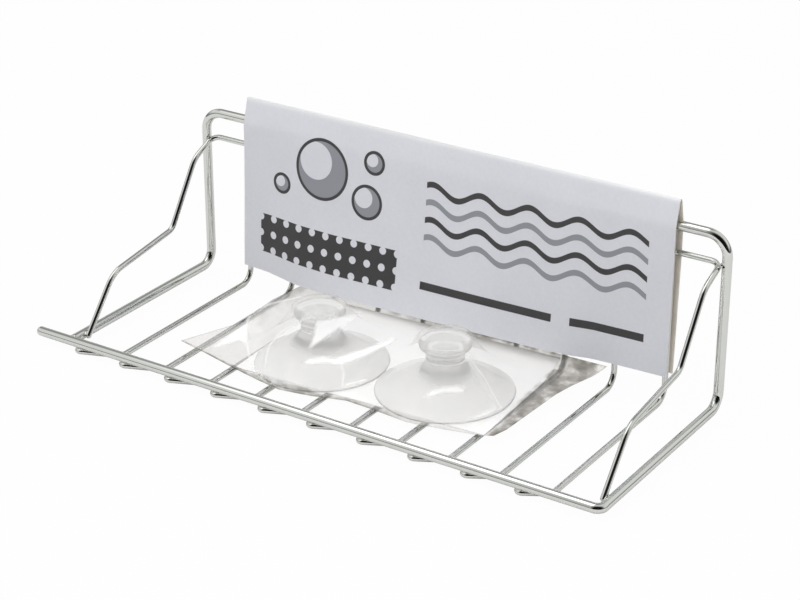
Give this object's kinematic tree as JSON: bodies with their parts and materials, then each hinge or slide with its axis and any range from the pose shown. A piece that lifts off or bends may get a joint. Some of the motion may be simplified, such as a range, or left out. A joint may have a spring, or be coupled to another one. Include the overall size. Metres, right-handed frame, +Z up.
{
  "type": "wire sponge holder",
  "caption": "Open chromed wire rack for a kitchen sponge, with stepped side guards, a folded card label over its top rail and a clear pouch of suction cups on its shelf",
  "frame": {"origin": "under the middle of the whole bounding box, at the height of the lowest wire", "axes": "X along the rails to the right, Y from the front rail back to the wall side, Z up"},
  "size_m": [0.2022, 0.0758, 0.0656],
  "materials": {
    "chromed_wire": "bright chrome plate",
    "label_card": "coated card, satin",
    "clear_film": "thin clear film",
    "white_card": "uncoated white card",
    "clear_pvc": "clear soft plastic, glossy"
  },
  "bodies": {
    "rack": {"frame_wire": "chromed_wire", "guard_wire": "chromed_wire", "shelf_wire_01": "chromed_wire", "shelf_wire_02": "chromed_wire", "shelf_wire_03": "chromed_wire", "shelf_wire_04": "chromed_wire", "shelf_wire_05": "chromed_wire", "shelf_wire_06": "chromed_wire", "shelf_wire_07": "chromed_wire", "shelf_wire_08": "chromed_wire", "shelf_wire_09": "chromed_wire", "shelf_wire_10": "chromed_wire"},
    "label": {"label_sleeve": "label_card"},
    "pouch": {"pouch_film": "clear_film", "insert_card": "white_card", "suction_cup_left": "clear_pvc", "suction_cup_right": "clear_pvc"}
  },
  "joints": [
    {"name": "label_lift", "type": "slide", "parent": "rack", "child": "label", "axis": [0, 0, 1], "range_m": [0, 0.065]},
    {"name": "pouch_lift", "type": "slide", "parent": "rack", "child": "pouch", "axis": [0, -0.94, 0.3412], "range_m": [0, 0.1]}
  ]
}
